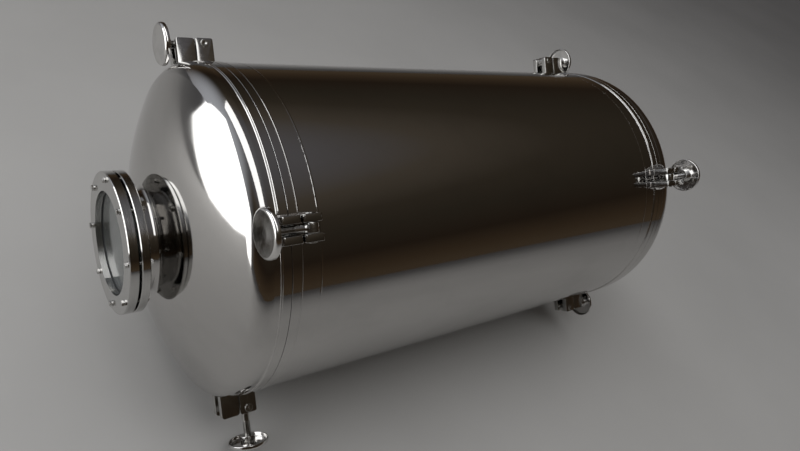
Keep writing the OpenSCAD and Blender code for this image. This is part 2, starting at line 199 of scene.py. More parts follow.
class TankStage(bpy.types.PropertyGroup):
    """Floor, lamps and surroundings"""

    floor_colour: tone("Floor colour", "Colour of the floor", (0.37, 0.365, 0.355))
    floor_radius: length("Floor radius", "Radius of the round floor", 14)
    key_radiance: brightness("Key radiance", "Brightness of the key panel", 2.6)
    key_width: length("Key width", "Width of the key panel", 3.85)
    key_height: length("Key height", "Height of the key panel", 2.9)
    key_distance: length("Key distance", "Distance of the key panel from the left head", 2.7)
    key_shift: length("Key shift", "How far the key panel is moved to the front", 0.58)
    key_sink: length("Key sink", "How far the key panel is sunk at its middle", 0.08)
    key_lean: turn("Key lean", "Slope of the key panel's foot", 10)
    overhead_radiance: brightness("Overhead radiance", "Brightness of the panel overhead", 2.0)
    overhead_height: length("Overhead height", "Height of the panel overhead", 4.0)
    overhead_width: length("Overhead width", "Size of the panel overhead along the tank", 1.5)
    overhead_depth: length("Overhead depth", "Size of the panel overhead across the tank", 5.8)
    fill_radiance: brightness("Fill radiance", "Brightness of the soft fill over the right end", 1.1)
    surround_strength: brightness("Surround strength", "Brightness of the surroundings", 1.0)


# Small tools of the workshop


def sizes():
    return bpy.context.scene.tank_sizes


def finish():
    return bpy.context.scene.tank_finish


def edit():
    bpy.ops.object.mode_set(mode="EDIT")


def leave_edit():
    bpy.ops.object.mode_set(mode="OBJECT")


def select_all():
    bpy.ops.mesh.select_all(action="SELECT")


def put_down():
    """Leaves nothing selected"""
    if bpy.context.object and bpy.context.object.mode != "OBJECT":
        leave_edit()
    bpy.ops.object.select_all(action="DESELECT")


def pick_up(*pieces):
    """Selects these pieces alone and makes the first one active"""
    put_down()
    for piece in pieces:
        piece.select_set(True)
    bpy.context.view_layer.objects.active = pieces[0]


def settled(name):
    """Names the piece in hand and brings its place, turn and scale into its mesh"""
    piece = bpy.context.object
    piece.name = name
    bpy.ops.object.transform_apply(location=True, rotation=True, scale=True)
    return piece


def shade(piece, degrees):
    pick_up(piece)
    bpy.ops.object.shade_smooth_by_angle(angle=math.radians(degrees))
    return piece


def place(piece, matrix):
    """Puts a piece where the matrix says, with its place in its mesh"""
    pick_up(piece)
    piece.matrix_world = matrix
    return settled(piece.name)


def copy_of(piece, name, matrix):
    """A copy with its own mesh, in a place of its own"""
    pick_up(piece)
    bpy.ops.object.duplicate(linked=False)
    twin = bpy.context.object
    twin.name = name
    twin.data.name = name
    return place(twin, matrix)


def join(pieces, name):
    pick_up(*pieces)
    bpy.ops.object.join()
    whole = bpy.context.object
    whole.name = name
    whole.data.name = name
    return whole


def discard(*pieces):
    pick_up(*pieces)
    bpy.ops.object.delete()


def modified(piece, kind, **settings):
    """Adds a modifier, sets it and applies it"""
    pick_up(piece)
    bpy.ops.object.modifier_add(type=kind)
    modifier = piece.modifiers[-1]
    for key, value in settings.items():
        setattr(modifier, key, value)
    bpy.ops.object.modifier_apply(modifier=modifier.name)
    return piece


def carve(piece, cutter, operation):
    """Joins, cuts or crosses a piece with another one, which is used up"""
    modified(piece, "BOOLEAN", operation=operation, solver="EXACT", object=cutter)
    discard(cutter)
    return piece


def trimmed(piece, outline, steps):
    """Leaves of a piece only what lies within an open outline turned about the X axis"""
    return carve(piece, turned("trimmer", outline, steps, closed=False), "INTERSECT")


def drawn_line(name, points, closed):
    """A chain of edges, drawn by extruding one vertex from point to point"""
    put_down()
    bpy.ops.mesh.primitive_plane_add(size=0.001, location=points[0])
    piece = settled(name)
    edit()
    bpy.ops.mesh.select_mode(type="VERT")
    select_all()
    bpy.ops.mesh.merge(type="CENTER")
    for here, there in zip(points, points[1:]):
        step = Vector(there) - Vector(here)
        bpy.ops.mesh.extrude_region_move(TRANSFORM_OT_translate={"value": step})
    leave_edit()
    if closed:
        used = [index for line in piece.data.edges for index in line.vertices]
        for vertex in piece.data.vertices:
            vertex.select = used.count(vertex.index) == 1
        edit()
        bpy.ops.mesh.edge_face_add()
        leave_edit()
    return piece


def turned(name, outline, steps, closed=True):
    """Turns an outline of distance along X and radius about the X axis. A closed outline makes a ring; an
    open one starts and ends on the axis."""
    piece = drawn_line(name, [(x, 0, r) for x, r in outline], closed)
    pick_up(piece)
    edit()
    select_all()
    bpy.ops.mesh.spin(steps=steps, dupli=False, angle=2 * math.pi, center=(0, 0, 0), axis=(1, 0, 0))
    return closed_up(piece)


def closed_up(piece):
    """Merges the doubles of the piece in edit mode, turns its faces outwards and leaves edit mode"""
    select_all()
    bpy.ops.mesh.remove_doubles(threshold=MERGED)
    bpy.ops.mesh.normals_make_consistent(inside=False)
    leave_edit()
    return piece


def block(name, low, high):
    """A plain block between two corners, to be shaped further"""
    put_down()
    bpy.ops.mesh.primitive_cube_add(size=1, location=(Vector(low) + Vector(high)) / 2)
    bpy.context.object.scale = Vector(high) - Vector(low)
    return settled(name)


def bar(name, start, end, radius, sides):
    """A bar along X with its edges left sharp, for cutting"""
    put_down()
    middle = ((start + end) / 2, 0, 0)
    bpy.ops.mesh.primitive_cylinder_add(
        vertices=sides, radius=radius, depth=end - start, location=middle, rotation=(0, math.pi / 2, 0)
    )
    return settled(name)


def rounded(points, corner_steps=4):
    """Rounds the corners of an outline. Each point is (x, r, corner radius)."""
    outline = []
    for i, (x, r, corner) in enumerate(points):
        if not corner:
            outline.append((x, r))
            continue
        here = Vector((x, r))
        before = (Vector(points[i - 1][:2]) - here).normalized()
        after = (Vector(points[(i + 1) % len(points)][:2]) - here).normalized()
        half = before.angle(after) / 2
        run = corner / math.tan(half)
        centre = here + (before + after).normalized() * corner / math.sin(half)
        first = here + before * run - centre
        last = here + after * run - centre
        sweep = first.angle_signed(last)
        for step in range(corner_steps + 1):
            angle = -sweep * step / corner_steps
            across = first.x * math.cos(angle) - first.y * math.sin(angle)
            up = first.x * math.sin(angle) + first.y * math.cos(angle)
            outline.append(tuple(centre + Vector((across, up))))
    return outline


def threaded(name, start, end, radius, pitch, steps=40):
    """A threaded rod along X: one pitch of the thread's outline, screwed about X and cut to length"""
    flank = THREAD_FLANK * pitch
    root = radius - THREAD_DEPTH * pitch
    outline = [
        (0, root),
        (pitch / 8, root),
        (pitch / 8 + flank, radius),
        (pitch / 4 + flank, radius),
        (pitch / 4 + 2 * flank, root),
        (pitch, root),
    ]
    # It starts before the first cut and runs past the last one
    before, extra_turns = 1.5 * pitch, 3
    turns = math.ceil((end - start) / pitch) + extra_turns
    piece = drawn_line(name, [(start - before + x, 0, r) for x, r in outline], False)
    modified(
        piece, "SCREW", axis="X", angle=2 * math.pi, screw_offset=pitch, iterations=turns,
        steps=steps, render_steps=steps, use_merge_vertices=True, merge_threshold=MERGED,
    )
    edit()
    select_all()
    bpy.ops.mesh.remove_doubles(threshold=MERGED)
    for at, outside in ((start, False), (end, True)):
        select_all()
        bpy.ops.mesh.bisect(
            plane_co=(at, 0, 0), plane_no=(1, 0, 0), use_fill=True,
            clear_inner=not outside, clear_outer=outside, threshold=MERGED / 10,
        )
    select_all()
    bpy.ops.mesh.normals_make_consistent(inside=False)
    leave_edit()
    return piece


def bead_along(name, path):
    """A weld bead along a path, with the ripples of its pools"""
    put_down()
    curve = bpy.data.curves.new(name, "CURVE")
    curve.dimensions = "3D"
    curve.bevel_depth = sizes().bead
    curve.bevel_resolution = 2
    curve.use_fill_caps = True
    line = curve.splines.new("POLY")
    line.points.add(len(path) - 1)
    for i, (knot, point) in enumerate(zip(line.points, path)):
        pool, drift = math.sin(i * math.pi * 2 / 3), math.sin(i * 0.37)
        knot.co = (*point, 1)
        knot.radius = 1 + 0.10 * pool + 0.05 * drift
    piece = bpy.data.objects.new(name, curve)
    bpy.context.scene.collection.objects.link(piece)
    pick_up(piece)
    bpy.ops.object.convert(target="MESH")
    edit()
    return shade(closed_up(bpy.context.object), 60)


def stations(points, spacing):
    """Evenly spaced points along a chain of straight runs"""
    path = []
    for start, end in zip(points, points[1:]):
        start, end = Vector(start), Vector(end)
        count = max(1, round((end - start).length / spacing))
        path += [start.lerp(end, i / count) for i in range(count)]
    return path + [Vector(points[-1])]


# Places on the tank


def end_plane(side):
    """Distance of an end's pivots from the tank's middle, along X"""
    return abs(JOINTS[f"{side}_upper_rear_swing"]["pos_m"][0])


def past_pivots(node, corner=1):
    """How far a node of the right end reaches past the pivots. Corner 0 gives its nearer face."""
    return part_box(f"right_{node}")[corner].x - end_plane("right")


def end_matrix(side):
    """Frame of an end: X outwards from the plane of the pivots, on the tank's axis"""
    sign = SIDES[side]
    turned_round = Matrix.Identity(4) if sign > 0 else Matrix.Rotation(math.pi, 4, "Z")
    return Matrix.Translation((sign * end_plane(side), 0, AXIS_HEIGHT)) @ turned_round


def frame_matrix(along, up, at):
    """Frame with X along one direction and Z close to another"""
    along = Vector(along).normalized()
    across = Vector(up).cross(along).normalized()
    up = along.cross(across)
    return Matrix.Translation(at) @ Matrix((along, across, up)).transposed().to_4x4()


def lug_matrix(side, where):
    """Frame of a lug: X outwards along the tank, Z away from the tank's axis, at the pivot"""
    pivot = Vector(JOINTS[f"{side}_{where}_swing"]["pos_m"])
    return frame_matrix((SIDES[side], 0, 0), (0, pivot.y, pivot.z - AXIS_HEIGHT), pivot)


def rod_matrix(side, where):
    """Frame of a swing bolt: X along its rod, Y along its pivot pin"""
    swing = JOINTS[f"{side}_{where}_swing"]
    rod = Vector(JOINTS[f"{side}_{where}_spin"]["axis"])
    return frame_matrix(rod, rod.cross(Vector(swing["axis"])), swing["pos_m"])


def pivot_radius():
    """Distance of the pivots from the tank's axis"""
    pivot = JOINTS["left_upper_rear_swing"]["pos_m"]
    return math.hypot(pivot[1], pivot[2] - AXIS_HEIGHT)


# Finishes


class Wiring:
    """Nodes of a finish or of the room, and the links between them"""

    def __init__(self, owner):
        owner.use_nodes = True
        self.tree = owner.node_tree
        self.tree.nodes.clear()

    def node(self, kind, inputs=None, **settings):
        """A node with its settings, and a value or a link for each input that is named"""
        node = self.tree.nodes.new(kind)
        for key, value in settings.items():
            setattr(node, key, value)
        for key, value in (inputs or {}).items():
            self.feed(node.inputs[key], value)
        return node

    def feed(self, socket, value):
        if isinstance(value, bpy.types.NodeSocket):
            self.tree.links.new(value, socket)
        elif value is not None:
            socket.default_value = value

    def blend(self, factor, first, second):
        """A mix of two colours, by the Mix node's colour sockets"""
        first, second = (
            given if isinstance(given, bpy.types.NodeSocket) else (*given, 1) for given in (first, second)
        )
        mix = self.node("ShaderNodeMix", {"Factor": factor, 6: first, 7: second}, data_type="RGBA")
        return mix.outputs[2]

    def spread(self, value, low, high, to_low=0.0, to_high=1.0, **settings):
        inputs = {"Value": value, "From Min": low, "From Max": high, "To Min": to_low, "To Max": to_high}
        return self.node("ShaderNodeMapRange", inputs, **settings).outputs["Result"]


class Recipe(Wiring):
    """Builds a finish round one shader, in object coordinates"""

    def __init__(self, name):
        self.material = bpy.data.materials.new(name)
        super().__init__(self.material)
        self.shader = self.node("ShaderNodeBsdfPrincipled")
        self.node("ShaderNodeOutputMaterial", {"Surface": self.shader.outputs["BSDF"]})
        self.spot = self.node("ShaderNodeTexCoord").outputs["Object"]

    def stretched(self, x, y, z):
        return self.node("ShaderNodeMapping", {"Vector": self.spot, "Scale": (x, y, z)}).outputs["Vector"]

    def math(self, operation, a, b=None):
        return self.node("ShaderNodeMath", {0: a, 1: b}, operation=operation).outputs["Value"]

    def rings(self, radial, along, around=1.5):
        """Coordinates that run fast across turning marks: by the radius and along the tank's axis"""
        split = self.node("ShaderNodeSeparateXYZ", {"Vector": self.spot}).outputs
        height = self.math("SUBTRACT", split["Z"], AXIS_HEIGHT)
        squares = self.math(
            "ADD", self.math("MULTIPLY", split["Y"], split["Y"]), self.math("MULTIPLY", height, height)
        )
        inputs = {
            "X": self.math("MULTIPLY", self.math("SQRT", squares), radial),
            "Y": self.math("MULTIPLY", split["X"], along),
            "Z": self.math("MULTIPLY", self.math("ARCTAN2", height, split["Y"]), around),
        }
        return self.node("ShaderNodeCombineXYZ", inputs).outputs["Vector"]

    def noise(self, scale, detail, roughness=0.55, vector=None):
        vector = self.spot if vector is None else vector
        inputs = {"Vector": vector, "Scale": scale, "Detail": detail, "Roughness": roughness}
        return self.node("ShaderNodeTexNoise", inputs).outputs["Fac"]

    def patches(self, scale, detail, low, high, roughness=0.55):
        """A mask of patches, from none at the low level of the noise to full at the high one"""
        return self.spread(self.noise(scale, detail, roughness), low, high)

    def bump(self, height, strength, distance, before=None):
        inputs = {"Height": height, "Strength": strength, "Distance": distance, "Normal": before}
        return self.node("ShaderNodeBump", inputs).outputs["Normal"]

    def edge_highlight_mask(self):
        """A mask of the convex edges, where a painted highlight lightens the metal"""
        pointiness = self.node("ShaderNodeNewGeometry").outputs["Pointiness"]
        return self.spread(pointiness, low=0.52, high=0.60)

    def shades(self, mask, colour, first, second):
        """Two shades of one colour, by a mask"""
        return self.blend(mask, tint(colour, first), tint(colour, second))

    def overlaid(self, base, mask, share, top):
        """The base colour with another laid over it where the mask says"""
        return self.blend(self.math("MULTIPLY", mask, share), base, top)

    def rougher(self, even, mask, rise):
        """A roughness that rises where the mask says"""
        return self.math("ADD", even, self.math("MULTIPLY", mask, rise))

    def done(self, **values):
        """The finish with its shader's sockets set"""
        for key, value in values.items():
            self.feed(self.shader.inputs[key.replace("_", " ")], value)
        return self.material


def tint(colour, factor):
    return tuple(min(1.0, channel * factor) for channel in colour)


def polished_sheet(name, drawn=False):
    """Mirror polished stainless sheet: slow waves, hand smudges, and fine marks drawn round the shell or
    turned about the tank's axis"""
    recipe = Recipe(name)
    colour = finish().mirror_colour
    gloss = finish().mirror_roughness
    smudge = recipe.spread(recipe.noise(7.0, 6, 0.62, recipe.stretched(1, 1, 1.6)), 0.50, 0.72)
    marks = recipe.stretched(1100, 6, 6) if drawn else recipe.rings(900, 5)
    grain = recipe.noise(1.0, 3, 0.7, marks)
    base = recipe.shades(recipe.noise(3.0, 3), colour, 0.94, 1.05)
    base = recipe.overlaid(base, smudge, 0.35, tint(colour, 0.80))
    streak = recipe.spread(recipe.spread(grain, 0.35, 0.75), 0, 1, gloss, gloss + 0.035)
    rough = recipe.rougher(streak, smudge, 0.05)
    waves = recipe.bump(recipe.noise(3.2, 1.5, 0.4, recipe.stretched(1, 1.6, 1.6)), 0.06, 0.006)
    lines = recipe.bump(grain, 0.06, 0.00004, waves)
    return recipe.done(Base_Color=base, Metallic=1.0, Roughness=rough, Normal=lines)


def turned_steel():
    """Steel faced on a lathe, with fine rings round the tank's axis"""
    recipe = Recipe("turned_steel")
    colour = finish().turned_colour
    grain = recipe.noise(1.0, 2, 0.6, recipe.rings(1500, 1500))
    stain = recipe.patches(14.0, 5, 0.45, 0.75)
    base = recipe.shades(recipe.spread(grain, 0.3, 0.7), colour, 0.90, 1.08)
    base = recipe.overlaid(base, stain, 0.4, tint(colour, 0.72))
    rough = recipe.rougher(recipe.spread(grain, 0.3, 0.7, 0.05, 0.10), stain, 0.10)
    rings = recipe.bump(grain, 0.12, 0.00006)
    return recipe.done(Base_Color=base, Metallic=1.0, Roughness=rough, Normal=rings)


def satin_metal(name, colour, gloss, stretch, dents):
    """Brushed metal with grain, stains, knocks and a painted highlight along its edges. Gloss is its least
    and most roughness.
    """
    recipe = Recipe(name)
    grain = recipe.noise(1.0, 4, 0.65, recipe.stretched(*stretch))
    stain = recipe.patches(40.0, 5, 0.42, 0.74)
    base = recipe.shades(recipe.spread(grain, 0.3, 0.7), colour, 0.86, 1.10)
    base = recipe.overlaid(base, stain, 0.5, tint(colour, 0.62))
    # painted highlight: the convex edges made lighter
    base = recipe.overlaid(base, recipe.edge_highlight_mask(), 0.6, tint(colour, 1.35))
    rough = recipe.rougher(recipe.spread(grain, 0.3, 0.7, *gloss), stain, 0.06)
    knocks = recipe.bump(recipe.noise(130.0, 3), dents, 0.00012)
    brushed = recipe.bump(grain, 0.10, 0.00005, knocks)
    return recipe.done(Base_Color=base, Metallic=1.0, Roughness=rough, Normal=brushed)


def buffed_steel():
    """Buffed steel of the wheels, with hand smudges and a painted highlight along its edges"""
    recipe = Recipe("buffed_wheel_steel")
    colour = finish().wheel_colour
    smudge = recipe.patches(45.0, 5, 0.45, 0.75, roughness=0.6)
    grain = recipe.noise(1.0, 3, 0.6, recipe.stretched(700, 700, 700))
    base = recipe.shades(smudge, colour, 1.04, 0.80)
    # painted highlight: the convex edges made lighter
    base = recipe.overlaid(base, recipe.edge_highlight_mask(), 0.5, tint(colour, 1.25))
    rough = recipe.rougher(recipe.spread(grain, 0.3, 0.7, 0.08, 0.15), smudge, 0.12)
    waves = recipe.bump(recipe.noise(45.0, 1.5), 0.10, 0.0002)
    return recipe.done(Base_Color=base, Metallic=1.0, Roughness=rough, Normal=waves)


def weld_metal():
    """Brushed weld beads with the tints of their heat"""
    recipe = Recipe("brushed_weld")
    colour = finish().weld_colour
    heated = [channel * share for channel, share in zip(colour, (0.8, 0.62, 0.45))]
    pools = recipe.noise(420.0, 3)
    base = recipe.shades(recipe.spread(pools, 0.35, 0.65), colour, 0.75, 1.2)
    base = recipe.overlaid(base, recipe.patches(60.0, 3, 0.45, 0.7), 0.5, heated)
    rough = recipe.spread(pools, 0.3, 0.7, 0.24, 0.42)
    ripples = recipe.bump(pools, 0.4, 0.0003)
    return recipe.done(Base_Color=base, Metallic=1.0, Roughness=rough, Normal=ripples)


def seal_rubber():
    """Black rubber with a pale bloom"""
    recipe = Recipe("black_seal_rubber")
    colour = finish().rubber_colour
    bloom_colour = (0.10, 0.10, 0.095)
    grain = recipe.noise(900.0, 3)
    base = recipe.shades(grain, colour, 0.7, 1.5)
    base = recipe.overlaid(base, recipe.patches(18.0, 5, 0.5, 0.8), 0.35, bloom_colour)
    rough = recipe.spread(grain, 0.3, 0.7, 0.5, 0.7)
    return recipe.done(Base_Color=base, Roughness=rough, Normal=recipe.bump(grain, 0.25, 0.0002))


def hazy_pane():
    """Sight glass, clear below a thin haze and wiped streaks"""
    recipe = Recipe("hazy_sight_glass")
    colour = finish().pane_colour
    haze = recipe.patches(9.0, 5, 0.30, 0.75, roughness=0.6)
    wipes = recipe.noise(3.0, 4, 0.6, recipe.stretched(1, 40, 9))
    base = recipe.shades(wipes, colour, 0.88, 1.1)
    clear = recipe.spread(haze, 0, 1, 0.93, 0.84)
    rough = recipe.rougher(recipe.spread(haze, 0, 1, 0.05, 0.16), wipes, 0.05)
    film = recipe.bump(haze, 0.05, 0.0004)
    return recipe.done(Base_Color=base, Roughness=rough, Normal=film, Transmission_Weight=clear, IOR=1.5)


def both(*names):
    """The CAD nodes of these names on both ends"""
    return [f"{side}_{name}" for name in names for side in SIDES]


def dress(names, material):
    """Gives CAD nodes their finish"""
    for name in names:
        node = NODES[name]
        node.data.materials.clear()
        node.data.materials.append(material)
        if node.active_material is not material:
            raise RuntimeError(f"{name} didn't take its finish")


def stand_in(piece, body, slot, material, *nodes):
    """Gives a finished piece its finish and body, and hides the CAD nodes that it stands for"""
    piece.data.materials.clear()
    piece.data.materials.append(material)
    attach(piece, body)
    if nodes:
        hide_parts(*nodes)


def one_per_rod(pattern, shape, body, slot, material, node):
    """Copies a pattern to all eight swing bolts and uses it up"""
    for side in SIDES:
        for where in PLACES:
            spot = f"{side}_{where}"
            piece = copy_of(pattern, f"{spot}_{shape}", rod_matrix(side, where))
            stand_in(piece, f"{spot}_{body}", slot, material, f"{spot}_{node}")
    discard(pattern)


class TANK_OT_sheet(bpy.types.Operator):
    """Polishes the shell, the heads, the necks and the closure rings"""

    bl_idname = "tank.sheet"
    bl_label = "Polished Sheet"

    def execute(self, context):
        dress(["shell"], polished_sheet("polished_shell", drawn=True))
        dress(both("dished_head"), polished_sheet("polished_head"))
        dress(both("shell_flange", "head_flange", "sight_neck"), polished_sheet("polished_ring"))
        return {"FINISHED"}


class TANK_OT_sights(bpy.types.Operator):
    """Finishes the sight flanges, cover rings, glasses and all gaskets"""

    bl_idname = "tank.sights"
    bl_label = "Sight Glasses and Gaskets"

    def execute(self, context):
        dress(both("sight_flange", "sight_cover"), turned_steel())
        dress(both("sight_glass"), hazy_pane())
        dress(both("flange_gasket", "glass_gaskets"), seal_rubber())
        return {"FINISHED"}


class TANK_OT_girth_welds(bpy.types.Operator):
    """Lays the shell's ground seams, the polished beads on the rings' edges and the collar of each neck"""

    bl_idname = "tank.girth_welds"
    bl_label = "Girth Welds"

    def execute(self, context):
        size = sizes()
        material = polished_sheet("polished_bead")
        rounds = [
            self.low_bead(-size.seam_distance, size.seam_width, size.seam_height),
            self.low_bead(0, size.ring_bead_width, size.ring_bead_height),
            self.low_bead(past_pivots("head_flange"), size.ring_bead_width, size.ring_bead_height),
            self.collar(past_pivots("dished_head"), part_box("right_sight_neck")[1].y),
        ]
        weld = shade(join(rounds, "girth_welds"), 50)
        for side in SIDES:
            piece = copy_of(weld, f"{side}_girth_welds", end_matrix(side))
            stand_in(piece, TANK, "polished_steel", material)
        discard(weld)
        return {"FINISHED"}

    def low_bead(self, middle, width, height):
        """A low rounded bead on the shell's round"""
        radius = sizes().shell_radius
        half, foot = width / 2, radius - SUNK
        half_steps = 4
        outline = [(middle - half, foot)]
        for step in range(-half_steps, half_steps + 1):
            out = step / half_steps
            outline.append((middle + half * out, radius - HAIR + height * (1 - out**2)))
        outline.append((middle + half, foot))
        return turned("low_bead", outline, 240)

    def collar(self, foot, radius):
        """The hollow round between a head and its neck"""
        leg = sizes().collar
        fall = 0.0016  # of the head's crown below the collar's outer edge
        inside = foot - fall - 2 * SUNK
        steps = 10
        outline = [(inside, radius + leg)]
        for step in range(steps + 1):
            angle = math.radians(90 / steps * step)
            along = foot + leg - (leg + fall) * math.cos(angle)
            outline.append((along, radius + leg - leg * math.sin(angle)))
        outline += [(foot + leg, radius - SUNK), (inside, radius - SUNK)]
        return turned("neck_collar", outline, 192)


class TANK_OT_lugs(bpy.types.Operator):
    """Cuts the lug plates: ears with their pin bores, and cheeks"""

    bl_idname = "tank.lugs"
    bl_label = "Lug Plates"

    def execute(self, context):
        size = sizes()
        colour = finish().satin_colour
        satin = satin_metal("satin_lug_steel", colour, (0.07, 0.13), (60, 500, 500), dents=0.04)
        past = 0.1  # past the end of any plate
        half = size.ear_length / 2
        ear = self.plate("ear_plate", -half, half, size.ear_rise, size.ear_corner)
        bore = place(bar("pin_bore", -past / 2, past / 2, size.pin_radius + LOOSE, 48), ACROSS)
        carve(ear, bore, "DIFFERENCE")
        self.seat(ear, -past, 0, size.shell_radius)
        self.seat(ear, 0, past, size.ring_radius)
        cheek = self.plate(
            "cheek_plate", size.cheek_start, size.cheek_reach, size.cheek_rise, size.cheek_corner
        )
        ring_end = past_pivots("head_flange")
        self.seat(cheek, 0, ring_end, size.ring_radius)
        self.seat(cheek, ring_end, past, size.shell_radius)
        middle = (size.lug_gap + size.lug_thickness) / 2
        shifts = [Matrix.Translation((0, across, 0)) for across in (-middle, middle)]
        for side in SIDES:
            for pattern, kind in ((ear, "shell_lugs"), (cheek, "head_lugs")):
                plates = [
                    copy_of(pattern, f"plate_{kind}", lug_matrix(side, where) @ shift)
                    for where in PLACES
                    for shift in shifts
                ]
                lugs = shade(join(plates, f"{side}_{kind}_plates"), 30)
                stand_in(lugs, TANK, "lug_steel", satin, f"{side}_{kind}")
        discard(ear, cheek)
        return {"FINISHED"}

    def plate(self, name, start, end, rise, corner):
        """A plate on its own middle plane, with rounded upper corners and eased edges, its pivot at the
        origin"""
        size = sizes()
        stock = 0.004  # left at the foot, to be cut to the round
        foot = size.shell_radius - pivot_radius() - stock
        half = size.lug_thickness / 2
        piece = block(name, (start, -half, foot), (end, half, rise))
        edit()
        bpy.ops.mesh.select_mode(type="EDGE")
        bpy.ops.mesh.select_all(action="DESELECT")
        leave_edit()
        for line in piece.data.edges:
            one, other = (piece.data.vertices[i].co for i in line.vertices)
            across = abs(one.x - other.x) < MERGED and abs(one.z - other.z) < MERGED
            line.select = across and one.z > rise - MERGED
        edit()
        bpy.ops.mesh.bevel(offset=corner, segments=8, affect="EDGES")
        leave_edit()
        ease, sharp = size.edge_ease, math.radians(40)
        return modified(piece, "BEVEL", width=ease, segments=3, limit_method="ANGLE", angle_limit=sharp)

    def seat(self, plate, start, end, radius):
        """Cuts a stretch of the plate's foot to the round that it stands on"""
        cutter = bar("seat_cutter", start, end, radius + HAIR, 720)
        carve(plate, place(cutter, Matrix.Translation((0, 0, -pivot_radius()))), "DIFFERENCE")


class TANK_OT_pins(bpy.types.Operator):
    """Turns the pivot pins with their flat button ends"""

    bl_idname = "tank.pins"
    bl_label = "Pivot Pins"

    def execute(self, context):
        size = sizes()
        foot_round, top_round = 0.0003, 0.0009
        dimple_radius, dimple_floor_radius, dimple_depth = 0.0018, 0.0008, 0.0006
        half = size.lug_gap / 2 + size.lug_thickness + HAIR
        top = half + size.button_height
        outline = rounded([
            (half, size.pin_radius, 0),
            (half, size.button_radius, foot_round),
            (top, size.button_radius, top_round),
            (top, dimple_radius, 0),
            (top - dimple_depth, dimple_floor_radius, 0),
            (top - dimple_depth, 0, 0),
        ])
        mirrored = [(-x, r) for x, r in reversed(outline)]
        pin = place(turned("pivot_pin", mirrored + outline, 64, closed=False), ACROSS)
        colour = tint(finish().satin_colour, 1.15)
        steel = satin_metal("pin_steel", colour, (0.12, 0.22), (300, 300, 300), dents=0.1)
        for side in SIDES:
            copies = [copy_of(pin, "pin", lug_matrix(side, where)) for where in PLACES]
            pins = shade(join(copies, f"{side}_turned_pins"), 40)
            stand_in(pins, TANK, "lug_steel", steel, f"{side}_pivot_pins")
        discard(pin)
        return {"FINISHED"}


class TANK_OT_swing_bolts(bpy.types.Operator):
    """Forges the eye bolts and cuts their threads"""

    bl_idname = "tank.swing_bolts"
    bl_label = "Swing Bolts"

    def execute(self, context):
        bolt = self.eye()
        shank = self.shank()
        carve(shank, self.thread(), "UNION")
        carve(bolt, shank, "UNION")
        shade(bolt, 32)
        colour = tint(finish().satin_colour, 1.1)
        steel = satin_metal("bolt_steel", colour, (0.10, 0.20), (200, 200, 200), dents=0.04)
        one_per_rod(bolt, "eye_bolt", "swing_bolt", "lug_steel", steel, "bolt")
        return {"FINISHED"}

    def bore(self):
        return sizes().pin_radius + RUNNING

    def root(self):
        """Radius at the foot of the thread"""
        return sizes().rod_radius - THREAD_DEPTH * sizes().rod_pitch

    def eye(self):
        size = sizes()
        half = size.eye_width / 2
        bore_round, outer_round = 0.0006, 0.0018
        outline = [
            (-half, self.bore(), bore_round),
            (-half, size.eye_radius, outer_round),
            (half, size.eye_radius, outer_round),
            (half, self.bore(), bore_round),
        ]
        return place(turned("bolt_eye", rounded(outline, 5), 72), ACROSS)

    def shank(self):
        """The rod from within the eye to the start of its thread"""
        size = sizes()
        inner = self.bore() + 0.0025  # inside the eye's wall
        neck = size.eye_radius - SUNK
        # Distance past the neck and height above the rod, where the eye runs out into the rod
        fillet = ((0, 0.0012), (0.0015, 0.0006), (0.003, 0.0001), (0.004, 0))
        slope = 0.001  # of the rod down to the thread's foot
        end = size.thread_start + SUNK
        outline = [
            (inner, 0),
            (inner, size.rod_radius),
            *((neck + along, size.rod_radius + above) for along, above in fillet),
            (size.thread_start - slope, size.rod_radius),
            (size.thread_start, self.root()),
            (end, self.root()),
            (end, 0),
        ]
        return turned("bolt_shank", outline, 72, closed=False)

    def thread(self):
        """The thread, crossed with a turned shape that runs it in and chamfers its end"""
        size = sizes()
        overlap, run_in, chamfer, chamfer_depth = 0.0005, 0.0016, 0.0018, 0.0004
        crest = size.rod_radius + 3 * HAIR
        foot = size.thread_start - 2 * HAIR
        tip = size.rod_length - FACED
        start = size.thread_start - overlap
        thread = threaded("bolt_thread", start, size.rod_length, size.rod_radius, size.rod_pitch)
        outline = [
            (foot, 0),
            (foot, self.root()),
            (size.thread_start + run_in, crest),
            (size.rod_length - chamfer, crest),
            (tip, self.root() - chamfer_depth),
            (tip, 0),
        ]
        return trimmed(thread, outline, 72)


class TANK_OT_wheel_nuts(bpy.types.Operator):
    """Spins the dished wheels with their hubs"""

    bl_idname = "tank.wheel_nuts"
    bl_label = "Wheel Nuts"

    def execute(self, context):
        size = sizes()
        mouth = 0.0012  # chamfer of the bore, and rounding of the hub's end
        hub_fillet, rim_round = 0.0022, 0.0013
        face = size.wheel_reach
        back = face - size.wheel_wall
        rim = size.wheel_radius
        inner_rim = rim - size.wheel_wall
        bore = size.rod_radius + RUNNING
        blind_end = size.rod_length + HAIR
        hub_back = face - size.hub_length
        rim_back = face - size.rim_depth
        outline = [
            (blind_end, bore, 0),
            (hub_back + mouth, bore, 0),
            (hub_back, bore + mouth, 0),
            (hub_back, size.hub_radius, mouth),
            (back, size.hub_radius, hub_fillet),
            (back, inner_rim, size.wheel_bend - size.wheel_wall),
            (rim_back, inner_rim, rim_round),
            (rim_back, rim, rim_round),
            (face, rim, size.wheel_bend),
        ]
        section = [(blind_end, 0), *rounded(outline, 8), (face, size.hub_radius), (face, 0)]
        wheel = shade(turned("wheel_nut", section, 96, closed=False), 40)
        one_per_rod(wheel, "spun_wheel", "wheel_nut", "wheel_steel", buffed_steel(), "wheel")
        return {"FINISHED"}


